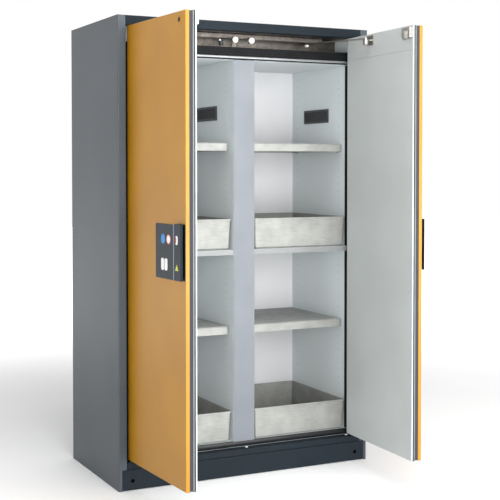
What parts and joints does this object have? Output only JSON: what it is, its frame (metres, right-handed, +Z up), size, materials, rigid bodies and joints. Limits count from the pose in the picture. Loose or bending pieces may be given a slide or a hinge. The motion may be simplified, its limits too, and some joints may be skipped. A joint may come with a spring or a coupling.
{
  "type": "flammable storage cabinet",
  "caption": "Tall fire-resistant storage cabinet with two wing doors, a centre wall, shelves, leak trays and self-closing gear.",
  "frame": {"origin": "at floor level, in the middle of the ground that the cabinet and its open doors cover", "axes": "+Z up along the height, the doors open towards -Y, +X to the right seen from the front"},
  "size_m": [1.193, 1.1466, 1.953],
  "materials": {
    "anthracite_paint": "fine-textured powder coat, satin",
    "yellow_paint": "smooth powder coat, semi-gloss",
    "melamine_board": "melamine faced fire-resistant board, matt",
    "fire_board": "dark fire-resistant core, raw edge",
    "seal_strip": "matt black sealing and swelling strip",
    "black_plastic": "moulded, satin",
    "slate_plastic": "moulded, satin",
    "white_nylon": "moulded",
    "stainless_steel": "pressed sheet, satin",
    "galvanised_steel": "zinc-coated sheet, dull",
    "arm_steel": "zinc-plated flat bar"
  },
  "bodies": {
    "cabinet": {"back_board": "melamine_board", "back_panel": "anthracite_paint", "base_frame": "anthracite_paint", "catch_knob_left": "white_nylon", "catch_knob_right": "white_nylon", "ceiling_board": "melamine_board", "closer_track": "galvanised_steel", "exhaust_collar": "galvanised_steel", "floor_board": "melamine_board", "frame_seal": "seal_strip", "header_tray": "galvanised_steel", "lower_pivot_left": "galvanised_steel", "lower_pivot_right": "galvanised_steel", "lower_shelf_left": "stainless_steel", "lower_shelf_right": "stainless_steel", "middle_board_left": "melamine_board", "middle_board_right": "melamine_board", "partition": "melamine_board", "plinth_panel": "anthracite_paint", "roof_panel": "anthracite_paint", "side_panel_left": "anthracite_paint", "side_panel_right": "anthracite_paint", "sill_rail": "anthracite_paint", "upper_pivot_left": "galvanised_steel", "upper_pivot_right": "galvanised_steel", "upper_shelf_left": "stainless_steel", "upper_shelf_right": "stainless_steel", "vent_grille_left": "black_plastic", "vent_grille_right": "black_plastic", "wall_board_left": "melamine_board", "wall_board_right": "melamine_board"},
    "door_left": {"arm_bracket_left": "galvanised_steel", "catch_plate_left": "galvanised_steel", "door_core_left": "fire_board", "door_edge_seal_left": "seal_strip", "door_inner_panel_left": "melamine_board", "door_skin_left": "yellow_paint", "door_top_strip_left": "melamine_board", "handle_left": "slate_plastic", "label_plate": "slate_plastic"},
    "closer_arm_left": {"closer_arm_left": "arm_steel"},
    "door_right": {"arm_bracket_right": "galvanised_steel", "catch_plate_right": "galvanised_steel", "door_core_right": "fire_board", "door_edge_seal_right": "seal_strip", "door_inner_panel_right": "melamine_board", "door_skin_right": "yellow_paint", "door_top_strip_right": "melamine_board", "handle_right": "slate_plastic"},
    "closer_arm_right": {"closer_arm_right": "arm_steel"},
    "order_lever": {"order_lever": "black_plastic"},
    "bottom_tray_left": {"bottom_tray_left": "stainless_steel"},
    "bottom_tray_right": {"bottom_tray_right": "stainless_steel"},
    "middle_tray_left": {"middle_tray_left": "stainless_steel"},
    "middle_tray_right": {"middle_tray_right": "stainless_steel"},
    "levelling_foot_front_left": {"levelling_foot_front_left": "galvanised_steel"},
    "levelling_foot_front_right": {"levelling_foot_front_right": "galvanised_steel"},
    "levelling_foot_rear_left": {"levelling_foot_rear_left": "galvanised_steel"},
    "levelling_foot_rear_right": {"levelling_foot_rear_right": "galvanised_steel"}
  },
  "joints": [
    {"name": "door_left_hinge", "type": "hinge", "parent": "cabinet", "child": "door_left", "pos_m": [-0.5415, -0.03368, 1], "axis": [0, 0, 1], "range_deg": [-7.5, 87.5]},
    {"name": "door_right_hinge", "type": "hinge", "parent": "cabinet", "child": "door_right", "pos_m": [0.5415, -0.03368, 1], "axis": [0, 0, 1], "range_deg": [-87.5, 7.5]},
    {"name": "closer_arm_left_pivot", "type": "hinge", "parent": "door_left", "child": "closer_arm_left", "pos_m": [-0.46884, -0.2307, 1.8885], "axis": [0, 0, 1], "range_deg": [-149.5, 13.5]},
    {"name": "closer_arm_right_pivot", "type": "hinge", "parent": "door_right", "child": "closer_arm_right", "pos_m": [0.46884, -0.2307, 1.8885], "axis": [0, 0, 1], "range_deg": [-13.5, 149.5]},
    {"name": "order_lever_pivot", "type": "hinge", "parent": "cabinet", "child": "order_lever", "pos_m": [-0.0985, 0.03432, 1.8665], "axis": [0, 0, -1], "range_deg": [0, 25], "stiffness_Nm_per_rad": 0.2},
    {"name": "bottom_tray_left_lift", "type": "slide", "parent": "cabinet", "child": "bottom_tray_left", "axis": [0, 0, 1], "range_m": [0, 0.08]},
    {"name": "bottom_tray_right_lift", "type": "slide", "parent": "cabinet", "child": "bottom_tray_right", "axis": [0, 0, 1], "range_m": [0, 0.08]},
    {"name": "middle_tray_left_lift", "type": "slide", "parent": "cabinet", "child": "middle_tray_left", "axis": [0, 0, 1], "range_m": [0, 0.08]},
    {"name": "middle_tray_right_lift", "type": "slide", "parent": "cabinet", "child": "middle_tray_right", "axis": [0, 0, 1], "range_m": [0, 0.08]},
    {"name": "levelling_foot_front_left_screw", "type": "slide", "parent": "cabinet", "child": "levelling_foot_front_left", "axis": [0, 0, -1], "range_m": [0, 0.02]},
    {"name": "levelling_foot_front_right_screw", "type": "slide", "parent": "cabinet", "child": "levelling_foot_front_right", "axis": [0, 0, -1], "range_m": [0, 0.02]},
    {"name": "levelling_foot_rear_left_screw", "type": "slide", "parent": "cabinet", "child": "levelling_foot_rear_left", "axis": [0, 0, -1], "range_m": [0, 0.02]},
    {"name": "levelling_foot_rear_right_screw", "type": "slide", "parent": "cabinet", "child": "levelling_foot_rear_right", "axis": [0, 0, -1], "range_m": [0, 0.02]}
  ],
  "couplings": [
    {"joint": "closer_arm_left_pivot", "follows": "door_left_hinge", "ratio": -1.7},
    {"joint": "closer_arm_right_pivot", "follows": "door_right_hinge", "ratio": -1.7}
  ]
}
